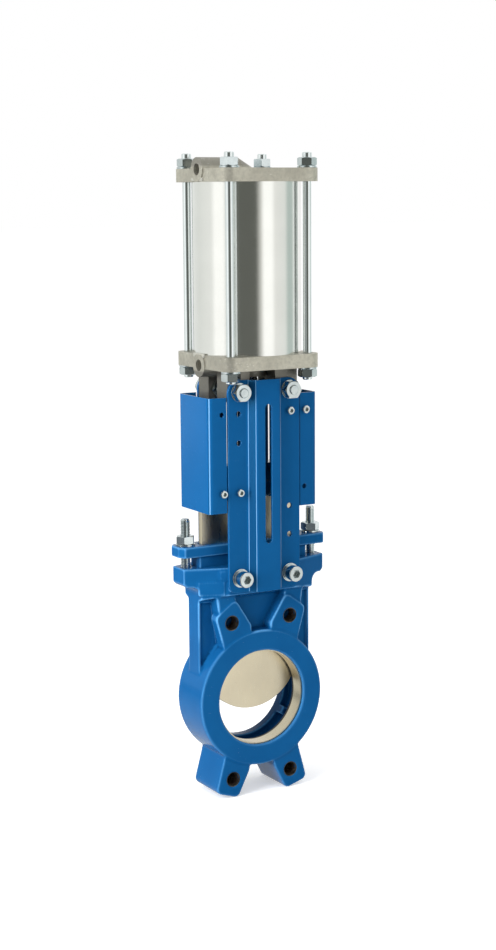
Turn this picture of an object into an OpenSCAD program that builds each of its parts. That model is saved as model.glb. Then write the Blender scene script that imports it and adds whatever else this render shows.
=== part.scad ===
// Knife gate valve with pneumatic cylinder, wafer body with threaded lugs.
// Millimetres, +Z up. The pipe axis is Y. The origin is the bore centre on the front flange face.

/* [Pipe connection] */
// Pipe passage diameter
bore_d = 100; // [90:1:106]
// Length between the two flange faces
face_to_face = 52; // [50:1:60]
// Bolt circle of the flange drilling
bolt_circle_d = 180; // [178:1:190]
// Wall diameter of the tapped flange holes
flange_hole_d = 14; // [12:0.5:15]
// Depth of the tapped flange holes
flange_hole_depth = 16; // [12:0.5:17]
// Step between the sealing face and the lug face
raised_step = 1; // [0.5:0.1:1.5]
// Bevel at the mouth of the passage
bore_bevel = 1; // [0.5:0.1:2]

/* [Body casting] */
// Ring thickness round the passage
ring_wall = 22; // [20:0.5:24]
// Flat wall in front of the gate
chest_wall = 6.6; // [5:0.2:8]
// Side wall beside the gate
chest_side_wall = 7.5; // [6:0.5:10]
// Height of the body top above the passage centre
body_top_z = 142; // [138:1:150]
// Height of the gland stud ears
ear_h = 19; // [15:0.5:22]
// Depth of the ears at their ends
ear_depth = 24; // [20:1:30]
// Half depth of the stuffing box block
box_half_y = 28; // [25:0.5:29]
// Step from the side of the block to the plate seats
plate_seat_step = 2; // [1.5:0.5:5]
// Corner radius of the flange lugs
lug_corner_r = 6; // [4:0.5:7]
// Depth of the corner pockets of the chest
pocket_depth = 3; // [1.5:0.5:4]
// Step from the lug face back to the webs above the lugs
web_step = 1.2; // [0.8:0.2:3]
// Fillet between the ears and the neck
ear_fillet_r = 9; // [6:0.5:11]
// Thickness of the rear lip of the passage
rear_lip_t = 12; // [9:0.5:16]
// Width of the rests that carry the gate from behind
rest_w = 9; // [6:0.5:12]
// Height of the rough cast pads
pad_t = 0.8; // [0.4:0.1:1.5]

/* [Gate] */
// Gate thickness
gate_t = 8; // [6:0.5:10]
// Gate overlap beyond the passage radius
gate_overlap = 7; // [6:0.5:8]
// Height of the gate arc centre above the passage centre as pictured
gate_lift = 41; // [25:1:60]
// Free space between gate and casting on each flat side
slot_gap = 0.7; // [0.5:0.1:1.2]
// Thickness of the gate side guides
guide_t = 1.4; // [1:0.1:1.6]
// Width of the tongue held by the fork
tongue_w = 52; // [44:1:54]

/* [Seat] */
// Radial thickness of the seat rings
seat_ring_t = 8; // [6:0.5:9]
// Length of the metal seat retainer
retainer_len = 15; // [12:0.5:15.5]
// Thickness of the rubber seat
seat_seal_t = 3; // [2:0.2:3.4]

/* [Packing and gland] */
// Side of the square packing cord
packing_size = 6; // [5:0.5:7]
// Depth of the gland nose inside the box
gland_engage = 7.5; // [5:0.5:10]
// Thickness of the gland plate
gland_t = 11; // [9:0.5:14]
// Open space between gland plate and body
gland_gap = 11.4; // [8:0.2:16]
// Depth of the gland plate
gland_depth = 29; // [27:0.5:34]
// Gland length outside the studs
gland_end = 12; // [10.5:0.5:14]
// Gland stud diameter
stud_d = 10; // [8:1:10]
// Wall between packing box and gland stud
stud_wall = 6.2; // [5:0.2:8]
// Stud length above the gland plate
stud_above = 27.6; // [18:0.2:34]

/* [Support plates] */
// Plate width
plate_w = 83.2; // [78:0.4:86]
// Sheet thickness of the plates
plate_t = 3; // [2:0.5:4]
// Width of the pressed crown
crown_w = 27.6; // [22:0.4:30]
// Height of the pressed crown
crown_h = 9; // [6:0.5:12]
// Width of the sloping crown side
crown_slope_w = 5.6; // [4:0.1:7]
// Plate corner radius at the top
plate_top_r = 13; // [8:0.5:16]
// Plate corner radius at the bottom
plate_foot_r = 8; // [4:0.5:12]
// Width of the position slot
slot_w = 8; // [6:0.5:10]
// Plate screw diameter
plate_screw_d = 10; // [8:1:10]
// Height of the plate screws below the body top
plate_screw_drop = 10.5; // [9:0.5:14]
// Switch hole diameter
switch_hole_d = 5.8; // [5.6:0.1:6.2]
// Height between the two switch holes of a pair
switch_pitch = 29.7; // [25:0.1:32]
// Drop from the lower strap to the next switch hole
switch_drop = 18.5; // [16:0.5:20]

/* [Guards] */
// Sheet thickness of the side guards
guard_t = 2; // [1:0.5:2.5]
// Outside bend radius of the guards
guard_bend_r = 5; // [3.5:0.5:7]
// Space between gate edge and guard
guard_clear = 4.5; // [3:0.5:8]
// Guard screw diameter
guard_screw_d = 5; // [4:1:5]
// Strap width
strap_w = 14; // [11:0.5:16]
// Strap thickness
strap_t = 3; // [2:0.5:4]

/* [Fork] */
// Fork height
fork_h = 35.5; // [34:0.5:42]
// Fork width
fork_w = 60; // [56:1:66]
// Cheek thickness of the fork
fork_cheek = 4.5; // [4:0.5:7]
// Fork bolt diameter
fork_bolt_d = 8; // [6:1:10]
// Half distance between the fork bolts
fork_bolt_x = 16; // [12:0.5:18]

/* [Cylinder] */
// Cylinder bore
cyl_bore = 100; // [92:1:103]
// Wall of the cylinder tube
tube_wall = 5.2; // [4:0.1:7]
// Cover edge standing beyond the tube
cover_lip = 0.5; // [0.3:0.1:3]
// Corner radius of the covers
cover_corner_r = 13; // [6:0.5:15]
// Thickness of the upper cover
upper_cover_t = 13.3; // [11:0.1:18]
// Thickness of the lower cover
lower_cover_t = 13.9; // [11:0.1:18]
// Space between tube and tie rods
tie_clear = 2.7; // [1.5:0.1:3.5]
// Tie rod thread diameter
tie_d = 10; // [8:1:10]
// Height of the feet under the lower cover
foot_h = 32.7; // [28:0.1:40]
// Depth of each foot
foot_depth = 21; // [16:0.5:22]
// Inner edge of each foot
foot_inner_x = 14.5; // [14:0.1:17]
// Step from the plate edge in to the outer side of the feet
foot_inset = 0.8; // [0.3:0.1:3]
// Spigot length inside the tube
spigot_len = 8; // [6:0.5:12]
// Wall diameter of the air port threads
port_d = 11.8; // [8.5:0.1:13]
// Depth of the air port threads
port_depth = 13; // [10:0.5:14]
// Radius of the air port boss
port_boss_r = 12; // [10:0.5:12.5]

/* [Piston and rod] */
// Piston rod diameter
rod_d = 22; // [20:1:24]
// Thread diameter at both rod ends
rod_thread_d = 16; // [12:1:16]
// Piston height
piston_h = 30; // [26:1:40]
// Piston space left at the closed end
closed_reserve = 3.9; // [2:0.1:8]
// Wall of the rod bush
bush_wall = 3; // [2:0.5:4]

/* [Hidden] */
$fn = 48;

// Colours
paint = [0.07, 0.35, 0.60];
zinc = [0.78, 0.80, 0.80];
steel = [0.72, 0.70, 0.64];
cast_alu = [0.66, 0.65, 0.60];
rubber = [0.06, 0.06, 0.06];
fibre = [0.75, 0.72, 0.62];
bronze = [0.70, 0.50, 0.25];
plastic = [0.85, 0.84, 0.78];

// Clearances
eps = 0.05;
thread_gap = 0.05;
hole_gap = 0.5;
slide_gap = 0.3;
rod_gap = 0.04;
piston_gap = 0.05;
guard_edge_gap = 1.4;
guard_rear_cut = 1;
limit_gap = 1;

// Pipe end of the body
half_len = face_to_face / 2;
bore_r = bore_d / 2;
ring_r = bore_r + ring_wall;
lug_half_y = half_len - raised_step;
bolt_x = bolt_circle_d / 2 * sin(22.5);
bolt_z = bolt_circle_d / 2 * cos(22.5);

// Gate and its chest
gate_r = bore_r + gate_overlap;
chest_half_x = gate_r + slide_gap + guide_t;
slot_half_y = gate_t / 2 + slot_gap;
chest_out_x = chest_half_x + chest_side_wall;
chest_out_y = slot_half_y + chest_wall;
open_rise = bore_r + limit_gap + gate_r - gate_lift;
seat_ring_r = bore_r - limit_gap + seat_ring_t;
seat_end_y = gate_t / 2 + slide_gap;

// Stuffing box and plate seats
plate_seat_y = box_half_y + plate_seat_step;
box_x = gate_r + slide_gap + packing_size;
box_y = gate_t / 2 + slide_gap + packing_size;
box_floor_z = body_top_z - gland_engage - 3 * packing_size;
box_under_z = box_floor_z - 3.5;
stud_x = box_x + stud_wall + stud_d / 2;
ear_x = stud_x + stud_d / 2 + 3.5;
ear_z = body_top_z - ear_h;
plan_x = chest_half_x - 18.5;
plate_screw_z = body_top_z - plate_screw_drop;
plate_washer_r = plate_screw_d * 0.96;
plate_screw_x = crown_w / 2 + crown_slope_w + plate_washer_r + 0.1;

// Gland
gland_z = body_top_z + gland_gap;
gland_top_z = gland_z + gland_t;
gland_x = stud_x + gland_end;
stud_top_z = gland_top_z + stud_above;

// Fork, feet and plates
fork_z = gland_top_z + 2.6 + gate_lift;
fork_top_z = fork_z + fork_h;
fork_half_y = gate_t / 2 + eps + fork_cheek;
tongue_z = fork_z + 20;
foot_z = fork_top_z + open_rise + limit_gap;
foot_stud_z = foot_z + 9.8;
cover_z = foot_z + foot_h;
plate_z = plate_screw_z - 15;
plate_top_z = foot_stud_z + 12;

// Guards
guard_z = stud_top_z + 7.5;
guard_top_z = foot_z + 5;
guard_x = gate_r + guard_clear + guard_t;
guard_in_x = plate_w / 2 + guard_edge_gap;
guard_y = plate_seat_y + guard_t;
strap_low_z = guard_z + 20;
strap_high_z = guard_top_z - 17;
strap_screw_x = plate_w / 2 - 12;
guard_screw_x = guard_in_x + 5.3;
strap_hole_d = guard_screw_d + 0.3;

// Cylinder
tube_in_r = cyl_bore / 2;
tube_out_r = tube_in_r + tube_wall;
tie_xy = (tube_out_r + tie_clear + tie_d / 2) / sqrt(2);
cover_w = 2 * (tube_out_r + cover_lip);
foot_outer_x = plate_w / 2 - foot_inset;
tube_z = cover_z + lower_cover_t;
spigot_z = tube_z + spigot_len;
piston_z = spigot_z + closed_reserve + gate_lift;
piston_top_z = piston_z + piston_h;
rod_nut_h = rod_thread_d / 2;
rod_washer_t = 2.5;
rod_top_z = piston_top_z + rod_washer_t + rod_nut_h + 1.2;
upper_spigot_z = rod_top_z + open_rise + 2;
tube_top_z = upper_spigot_z + spigot_len;
tube_len = tube_top_z - tube_z;
top_z = tube_top_z + upper_cover_t;
hub_z = cover_z - 10;
bush_r = rod_d / 2 + rod_gap + bush_wall;
port_z = cover_z + 3.1;
upper_port_z = top_z - 1;
port_x = cover_w / 2 + 1.2;
duct_x = tube_in_r - 6.5;
duct_r = 2.5;

// Fasteners
function hex_r(d) = d * 0.85 / cos(30);
function nut_h(d) = d * 0.84;
washer_t = 2;
lock_washer_t = 2.2;

module at_mid() {
    translate([0, half_len, 0]) children();
}

module four() {
    for (sx = [-1, 1]) for (sy = [-1, 1]) scale([sx, sy, 1]) children();
}

module both_x() {
    for (sx = [-1, 1]) scale([sx, 1, 1]) children();
}

module both_y() {
    for (sy = [-1, 1]) scale([1, sy, 1]) children();
}

// Cylinder along Y from y0 to y1
module bar_y(r, y0, y1) {
    translate([0, y1, 0]) rotate([90, 0, 0]) cylinder(r = r, h = y1 - y0);
}

// Cone along Y from radius ra at y0 to radius rb at y1
module cone_y(ra, rb, y0, y1) {
    translate([0, y1, 0]) rotate([90, 0, 0]) cylinder(r1 = rb, r2 = ra, h = y1 - y0);
}

// Cylinder along X from x0 to x1
module bar_x(r, x0, x1) {
    translate([x0, 0, 0]) rotate([0, 90, 0]) cylinder(r = r, h = x1 - x0);
}

// Upright cylinder from z0 to z1
module bar_z(r, z0, z1) {
    translate([0, 0, z0]) cylinder(r = r, h = z1 - z0);
}

// Box from half sizes and two heights
module block(hx, hy, z0, z1) {
    translate([-hx, -hy, z0]) cube([2 * hx, 2 * hy, z1 - z0]);
}

// Outline drawn in X and Z and pushed from y0 to y1
module push_y(y0, y1) {
    translate([0, y1, 0]) rotate([90, 0, 0]) linear_extrude(height = y1 - y0) children();
}

// Rectangle with round corners
module round_rect(w, h, r) {
    square([w - 2 * r, h], center = true);
    square([w, h - 2 * r], center = true);
    for (sx = [-1, 1]) for (sy = [-1, 1]) translate([sx * (w / 2 - r), sy * (h / 2 - r)]) circle(r = r);
}

// Washer lying flat with its underside at z0
module washer(ri, ro, z0, t) {
    difference() {
        bar_z(ro, z0, z0 + t);
        bar_z(ri, z0 - 1, z0 + t + 1);
    }
}

// Hexagon nut with bevelled corners, underside at z0
module hex_nut(d, z0, h) {
    difference() {
        intersection() {
            translate([0, 0, z0]) cylinder(r = hex_r(d), h = h, $fn = 6);
            union() {
                translate([0, 0, z0]) cylinder(r1 = d * 0.84, r2 = d * 1.04, h = h * 0.18);
                bar_z(d * 1.04, z0 + h * 0.18, z0 + h * 0.82);
                translate([0, 0, z0 + h * 0.82]) cylinder(r1 = d * 1.04, r2 = d * 0.84, h = h * 0.18);
            }
        }
        bar_z(d / 2 + thread_gap, z0 - 1, z0 + h + 1);
    }
}

// Threaded rod with bevelled ends
module stud(r, z0, z1) {
    bevel = r * 0.16;
    translate([0, 0, z0]) cylinder(r1 = r - bevel, r2 = r, h = bevel);
    bar_z(r, z0 + bevel, z1 - bevel);
    translate([0, 0, z1 - bevel]) cylinder(r1 = r, r2 = r - bevel, h = bevel);
}

// Socket screw with its head above z0 and its shank below
module socket_screw(d, z0, shank) {
    head_r = d * 0.8;
    difference() {
        union() {
            bar_z(head_r, z0, z0 + d - 0.6);
            translate([0, 0, z0 + d - 0.6]) cylinder(r1 = head_r, r2 = head_r - 0.6, h = 0.6);
            bar_z(d / 2, z0 - shank, z0);
        }
        translate([0, 0, z0 + d * 0.45]) cylinder(r = d * 0.46, h = d, $fn = 6);
    }
}

// Turns an upright part so that its top looks to the front
module facing_front(x, y, z) {
    translate([x, y, z]) rotate([90, 0, 0]) children();
}

// Body casting
module lug_outline() {
    translate([bolt_x, bolt_z]) hull() {
        translate([-17, -25]) circle(r = lug_corner_r);
        translate([-17.4, -6.7]) circle(r = lug_corner_r);
        translate([-2.9, 16]) circle(r = lug_corner_r);
        translate([12.4, 5]) circle(r = lug_corner_r);
        translate([4.2, -24]) circle(r = lug_corner_r);
    }
}

// Front outline of a lower lug, drawn upside down
module low_lug_outline() {
    translate([bolt_x, bolt_z]) hull() {
        translate([-17, -25]) circle(r = lug_corner_r);
        translate([-13.5, -8]) circle(r = lug_corner_r);
        translate([-2.5, 13.5]) circle(r = lug_corner_r);
        translate([13, 8.5]) circle(r = lug_corner_r);
        translate([4.2, -24]) circle(r = lug_corner_r);
    }
}

module stuffing_block() {
    fillet_x = chest_out_x + ear_fillet_r;
    fillet = [for (t = [90:15:180]) [fillet_x + ear_fillet_r * cos(t), ear_z - ear_fillet_r + ear_fillet_r * sin(t)]];
    side = concat([[ear_x, body_top_z], [ear_x, ear_z + 3], [ear_x - 3, ear_z]], fillet,
        [[chest_out_x, box_under_z - 10]]);
    intersection() {
        translate([0, 0, box_under_z - 20])
            linear_extrude(height = body_top_z - box_under_z + 20)
                polygon([[-ear_x, -ear_depth / 2], [-plan_x, -box_half_y], [plan_x, -box_half_y],
                    [ear_x, -ear_depth / 2], [ear_x, ear_depth / 2], [plan_x, box_half_y],
                    [-plan_x, box_half_y], [-ear_x, ear_depth / 2]]);
        push_y(-box_half_y, box_half_y)
            for (sx = [-1, 1]) scale([sx, 1]) polygon(concat([[-1, box_under_z - 10], [-1, body_top_z]], side));
        translate([-ear_x, 0, 0]) rotate([90, 0, 90]) linear_extrude(height = 2 * ear_x)
            polygon([[-box_half_y, body_top_z], [-box_half_y, box_under_z], [-chest_out_y, box_under_z - 6],
                [chest_out_y, box_under_z - 6], [box_half_y, box_under_z], [box_half_y, body_top_z]]);
    }
}

module chest_pocket() {
    edge_x = chest_out_x - 2.5;
    low_z = sqrt(ring_r * ring_r - edge_x * edge_x) + 3;
    push_y(-chest_out_y - 1, -chest_out_y + pocket_depth)
        polygon([[edge_x, low_z], [edge_x, box_under_z - 8], [bolt_x + 16, box_under_z - 9],
            [bolt_x + 10, bolt_z - 22.8]]);
}

// Web between a lug and the stuffing box
module lug_web() {
    top_z = box_under_z + 5;
    polygon([[bolt_x + 18, top_z], [bolt_x + 16, box_under_z - 9], [bolt_x + 9, bolt_z - 28],
        [bolt_x - 6, bolt_z - 28], [bolt_x - 10, bolt_z + 16], [bolt_x - 6, bolt_z + 22], [bolt_x - 4, top_z]]);
}

// Room behind the gate, with four rests that carry it
module rear_room() {
    difference() {
        bar_y(seat_ring_r, 0, half_len - rear_lip_t);
        for (turn = [33, 147, 213, 327]) rotate([0, turn, 0])
            translate([bore_r - 2, slot_half_y, -rest_w / 2]) cube([seat_ring_r, half_len, rest_w]);
    }
}

// Rough cast pads on the slanting face of the left ear
module cast_pads() {
    run = ear_x - plan_x;
    rise = box_half_y - ear_depth / 2;
    long = sqrt(run * run + rise * rise);
    translate([-ear_x, -ear_depth / 2, 0]) rotate([0, 0, -atan2(rise, run)]) {
        translate([long * 0.32, -pad_t, ear_z - 9]) cube([long * 0.6, pad_t + 2, 14]);
        translate([long * 0.8, -pad_t, ear_z + 6.8]) cube([long * 0.18, pad_t + 2, ear_h - 9.8]);
    }
}

module body_casting() {
    color(paint) difference() {
        union() {
            bar_y(ring_r, -lug_half_y, lug_half_y);
            bar_y(ring_r - 0.8, -half_len, half_len);
            block(chest_out_x, chest_out_y, 0, box_under_z + 1);
            both_x() push_y(-lug_half_y, lug_half_y) lug_outline();
            both_x() scale([1, 1, -1]) push_y(-lug_half_y, lug_half_y) low_lug_outline();
            both_x() push_y(-lug_half_y + web_step, lug_half_y - web_step) lug_web();
            stuffing_block();
            cast_pads();
            both_y() translate([-plate_w / 2 + 2, -plate_seat_y, plate_z + 1])
                cube([plate_w - 4, plate_seat_y - box_y - 4, body_top_z - plate_z - 2]);
        }
        // Passage with the seat recess in front of the gate
        bar_y(bore_r, -half_len - 1, half_len + 1);
        both_y() cone_y(bore_r + bore_bevel + 1, bore_r - 0.01, -half_len - 1, -half_len + bore_bevel + 0.01);
        bar_y(seat_ring_r, -seat_end_y - seat_seal_t - retainer_len, 0);
        rear_room();
        // Gate chest, open upwards into the packing box
        bar_y(chest_half_x, -slot_half_y, slot_half_y);
        block(chest_half_x, slot_half_y, 0, box_floor_z + 1);
        block(box_x, box_y, box_floor_z, body_top_z + 1);
        // Chest pockets
        four() chest_pocket();
        // Tapped flange holes, blind beside the gate and through in the lower lugs
        four() for (sz = [-1, 1]) translate([bolt_x, 0, sz * bolt_z]) {
            bar_y(flange_hole_d / 2, -half_len - 1, sz > 0 ? -lug_half_y + flange_hole_depth : 1);
            cone_y(flange_hole_d / 2 + 2.2, flange_hole_d / 2, -lug_half_y - 1, -lug_half_y + 1.2);
        }
        // Gland stud holes
        both_x() translate([stud_x, 0, 0]) bar_z(stud_d / 2 + thread_gap, ear_z + 4.5, body_top_z + 1);
        // Plate screw holes
        four() translate([plate_screw_x, 0, plate_screw_z])
            bar_y(plate_screw_d / 2 + thread_gap, -plate_seat_y - 1, -plate_seat_y + 16.5);
    }
}

// Seat
module seat_retainer() {
    y0 = -seat_end_y - seat_seal_t - retainer_len;
    color(steel) difference() {
        bar_y(seat_ring_r, y0, y0 + retainer_len);
        bar_y(bore_r - limit_gap, y0 - 1, y0 + retainer_len + 1);
    }
}

module seat_seal() {
    y0 = -seat_end_y - seat_seal_t;
    color(rubber) difference() {
        bar_y(seat_ring_r, y0, y0 + seat_seal_t);
        bar_y(bore_r - limit_gap + 0.3, y0 - 1, y0 + seat_seal_t + 1);
    }
}

module gate_guides() {
    color(plastic) both_x()
        translate([gate_r + slide_gap, -gate_t / 2, 3]) cube([guide_t, gate_t, box_floor_z - 6]);
}

// Packing and gland
module packing_ring(n) {
    z0 = box_floor_z + n * packing_size;
    difference() {
        block(box_x, box_y, z0, z0 + packing_size);
        block(gate_r + slide_gap, gate_t / 2 + slide_gap, z0 - 1, z0 + packing_size + 1);
    }
}

module packing_lower() {
    color(fibre) packing_ring(0);
}

module packing_middle() {
    color(fibre) packing_ring(1);
}

module packing_upper() {
    color(fibre) packing_ring(2);
}

module packing_gland() {
    end_x = 4.5;
    end_y = 7;
    gx = gland_x;
    gy = gland_depth / 2;
    color(paint) difference() {
        union() {
            translate([0, 0, gland_z]) linear_extrude(height = gland_t)
                polygon([[-gx, -gy + end_y], [-gx + end_x, -gy], [gx - end_x, -gy], [gx, -gy + end_y],
                    [gx, gy - end_y], [gx - end_x, gy], [-gx + end_x, gy], [-gx, gy - end_y]]);
            block(box_x - 0.2, box_y - 0.2, body_top_z - gland_engage, gland_z + 1);
        }
        block(gate_r + slide_gap, gate_t / 2 + slide_gap, body_top_z - gland_engage - 1, gland_top_z + 1);
        both_x() translate([stud_x, 0, 0]) bar_z(stud_d / 2 + hole_gap, gland_z - 1, gland_top_z + 1);
    }
}

module gland_studs() {
    color(zinc) both_x() translate([stud_x, 0, 0]) stud(stud_d / 2, ear_z + 5, stud_top_z);
}

module gland_washers() {
    color(zinc) both_x() translate([stud_x, 0, 0])
        washer(stud_d / 2 + 0.3, stud_d, gland_top_z, washer_t);
}

module gland_nuts() {
    color(zinc) both_x() translate([stud_x, 0, 0]) hex_nut(stud_d, gland_top_z + washer_t, nut_h(stud_d));
}

// Support plates, drawn for the front and turned for the rear
module hat_profile() {
    hw = plate_w / 2;
    cw = crown_w / 2;
    sw = cw + crown_slope_w;
    lean = plate_t * 0.5;
    y0 = -plate_seat_y;
    y1 = -plate_seat_y - plate_t;
    polygon([[-hw, y0], [-hw, y1], [-sw, y1], [-cw, y1 - crown_h], [cw, y1 - crown_h], [sw, y1],
        [hw, y1], [hw, y0], [sw - lean, y0], [cw - lean, y0 - crown_h], [-cw + lean, y0 - crown_h],
        [-sw + lean, y0]]);
}

module plate_outline() {
    hw = plate_w / 2;
    translate([-hw + plate_foot_r, plate_z]) square([plate_w - 2 * plate_foot_r, plate_foot_r + 1]);
    translate([-hw, plate_z + plate_foot_r]) square([plate_w, plate_top_z - plate_z - plate_foot_r - plate_top_r]);
    translate([-hw + plate_top_r, plate_top_z - plate_top_r - 1]) square([plate_w - 2 * plate_top_r, plate_top_r + 1]);
    for (sx = [-1, 1]) {
        translate([sx * (hw - plate_foot_r), plate_z + plate_foot_r]) circle(r = plate_foot_r);
        translate([sx * (hw - plate_top_r), plate_top_z - plate_top_r]) circle(r = plate_top_r);
    }
}

module sheet_hole(d, x, z) {
    translate([x, 0, z]) bar_y(d / 2, -plate_seat_y - plate_t - 1, -plate_seat_y + 1);
}

module support_plate() {
    slot_z = gland_top_z + 1.4 + slot_w / 2;
    slot_top = guard_top_z - 8 - slot_w / 2;
    out_y = -plate_seat_y - plate_t - crown_h - 1;
    difference() {
        intersection() {
            translate([0, 0, plate_z - 1]) linear_extrude(height = plate_top_z - plate_z + 2) hat_profile();
            push_y(out_y, 0) plate_outline();
        }
        // Position slot
        translate([0, 0, slot_z]) bar_y(slot_w / 2, out_y, 0);
        translate([0, 0, slot_top]) bar_y(slot_w / 2, out_y, 0);
        translate([-slot_w / 2, out_y, slot_z]) cube([slot_w, -out_y, slot_top - slot_z]);
        // Mounting holes
        both_x() {
            translate([plate_screw_x, 0, plate_screw_z])
                bar_y(plate_screw_d / 2 + hole_gap, -plate_seat_y - plate_t - 1, -plate_seat_y + 1);
            translate([plate_screw_x, 0, foot_stud_z])
                bar_y(plate_screw_d / 2 + hole_gap, -plate_seat_y - plate_t - 1, -plate_seat_y + 1);
        }
        // Strap and switch holes
        sheet_hole(strap_hole_d, -strap_screw_x, strap_low_z);
        sheet_hole(strap_hole_d, strap_screw_x, strap_high_z);
        for (z = [strap_high_z, strap_high_z - switch_pitch])
            sheet_hole(switch_hole_d, -strap_screw_x, z);
        for (z = [strap_low_z - switch_drop, strap_low_z - switch_drop - switch_pitch])
            sheet_hole(switch_hole_d, strap_screw_x, z);
    }
}

module front_plate() {
    color(paint) support_plate();
}

module rear_plate() {
    color(paint) rotate([0, 0, 180]) support_plate();
}

module plate_screws() {
    head_y = -plate_seat_y - plate_t - washer_t - lock_washer_t;
    color(zinc) both_y() for (sx = [-1, 1])
        facing_front(sx * plate_screw_x, head_y, plate_screw_z) socket_screw(plate_screw_d, 0, plate_t + washer_t + lock_washer_t + 15);
}

module plate_lock_washers() {
    color(zinc) four() facing_front(plate_screw_x, -plate_seat_y - plate_t - washer_t, plate_screw_z)
        washer(plate_screw_d / 2 + 0.2, plate_screw_d * 0.88, 0, lock_washer_t);
}

module plate_washers() {
    color(zinc) four() facing_front(plate_screw_x, -plate_seat_y - plate_t, plate_screw_z)
        washer(plate_screw_d / 2 + 0.3, plate_washer_r, 0, washer_t);
}

module foot_studs() {
    tip = plate_t + washer_t + nut_h(plate_screw_d) + 1.5;
    color(zinc) four() facing_front(plate_screw_x, -plate_seat_y, foot_stud_z)
        stud(plate_screw_d / 2, -foot_depth - plate_screw_d * 0.5 - 0.8, tip);
}

module foot_nuts() {
    color(zinc) four() facing_front(plate_screw_x, -plate_seat_y - plate_t - washer_t, foot_stud_z)
        hex_nut(plate_screw_d, 0, nut_h(plate_screw_d));
}

module foot_jam_nuts() {
    color(zinc) four() facing_front(plate_screw_x, -plate_seat_y + foot_depth + plate_screw_d * 0.5, foot_stud_z)
        hex_nut(plate_screw_d, 0, plate_screw_d * 0.5);
}

module foot_washers() {
    color(zinc) four() facing_front(plate_screw_x, -plate_seat_y - plate_t, foot_stud_z)
        washer(plate_screw_d / 2 + 0.3, plate_washer_r, 0, washer_t);
}

// Side guards
module guard_profile() {
    inner_r = guard_bend_r - guard_t;
    difference() {
        union() {
            translate([guard_in_x, -guard_y]) square([guard_x - guard_in_x - guard_bend_r, 2 * guard_y]);
            translate([guard_in_x, -guard_y + guard_bend_r])
                square([guard_x - guard_in_x, 2 * (guard_y - guard_bend_r)]);
            for (sy = [-1, 1]) translate([guard_x - guard_bend_r, sy * (guard_y - guard_bend_r)])
                circle(r = guard_bend_r);
        }
        translate([guard_in_x - 1, -guard_y + guard_t])
            square([guard_x - guard_in_x - guard_bend_r + 1, 2 * (guard_y - guard_t)]);
        translate([guard_in_x - 1, guard_y - guard_t - 1]) square([1 + guard_rear_cut, guard_t + 2]);
        translate([guard_in_x - 1, -guard_y + guard_bend_r])
            square([guard_x - guard_in_x - guard_t + 1, 2 * (guard_y - guard_bend_r)]);
        for (sy = [-1, 1]) translate([guard_x - guard_bend_r, sy * (guard_y - guard_bend_r)])
            circle(r = inner_r);
    }
}

module side_guard() {
    difference() {
        translate([0, 0, guard_z]) linear_extrude(height = guard_top_z - guard_z) guard_profile();
        for (z = [strap_low_z, strap_high_z]) translate([guard_screw_x, 0, z])
            bar_y(strap_hole_d / 2, -guard_y - 1, guard_y + 1);
    }
}

module left_guard() {
    color(paint) scale([-1, 1, 1]) side_guard();
}

module right_guard() {
    color(paint) side_guard();
}

// Strap behind one plate edge and guard edge, drawn for the front left
module strap_at(z) {
    x0 = strap_screw_x - strap_w / 2 + 1;
    x1 = guard_screw_x + strap_w / 2 - 1;
    difference() {
        translate([-x1, -plate_seat_y, z - strap_w / 2]) cube([x1 - x0, strap_t, strap_w]);
        for (x = [strap_screw_x, guard_screw_x]) translate([-x, 0, z])
            bar_y(guard_screw_d / 2 + thread_gap, -plate_seat_y - 1, -plate_seat_y + strap_t + 1);
    }
}

module strap_screws_at(z) {
    facing_front(-strap_screw_x, -plate_seat_y - plate_t, z) socket_screw(guard_screw_d, 0, plate_t + strap_t + 2);
    facing_front(-guard_screw_x, -plate_seat_y - guard_t, z) socket_screw(guard_screw_d, 0, guard_t + strap_t + 2);
}

module guard_straps() {
    color(zinc) for (turn = [0, 180]) rotate([0, 0, turn]) {
        strap_at(strap_low_z);
        scale([-1, 1, 1]) strap_at(strap_high_z);
    }
}

module guard_screws() {
    color(zinc) for (turn = [0, 180]) rotate([0, 0, turn]) {
        strap_screws_at(strap_low_z);
        scale([-1, 1, 1]) strap_screws_at(strap_high_z);
    }
}

// Cylinder covers
module seal_groove(z0) {
    difference() {
        bar_z(tube_in_r + 1, z0, z0 + 3);
        bar_z(tube_in_r - 3, z0 - 1, z0 + 4);
    }
}

module foot_outline() {
    polygon([[foot_inner_x, cover_z + 1], [foot_outer_x, cover_z + 1], [foot_outer_x, foot_z],
        [foot_inner_x + 1.5, foot_z]]);
}

module cover_plate(z0, z1) {
    translate([0, 0, z0]) linear_extrude(height = z1 - z0) round_rect(cover_w, cover_w, cover_corner_r);
}

module lower_cover() {
    color(cast_alu) difference() {
        union() {
            cover_plate(cover_z, tube_z);
            bar_z(tube_in_r - 0.1, tube_z - 1, spigot_z);
            bar_z(bush_r + 5, hub_z, cover_z + 1);
            four() push_y(-plate_seat_y, -plate_seat_y + foot_depth) foot_outline();
            intersection() {
                translate([0, 0, port_z]) bar_x(port_boss_r, -port_x, -cover_w / 2 + 20);
                block(port_x + 1, port_boss_r + 1, 0, tube_z);
            }
        }
        seal_groove(tube_z + 2.5);
        bar_z(bush_r, hub_z + 1.5, spigot_z + 1);
        bar_z(rod_d / 2 + hole_gap, hub_z - 1, hub_z + 2);
        four() translate([tie_xy, tie_xy, 0]) bar_z(tie_d / 2 + 0.3, cover_z - 1, tube_z + 1);
        four() translate([plate_screw_x, 0, foot_stud_z])
            bar_y(plate_screw_d / 2 + 0.3, -plate_seat_y - 1, -plate_seat_y + foot_depth + 1);
        translate([0, 0, port_z]) bar_x(port_d / 2, -port_x - 1, -port_x + port_depth);
        translate([-duct_x, 0, 0]) bar_z(duct_r, port_z, spigot_z + 1);
    }
}

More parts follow.
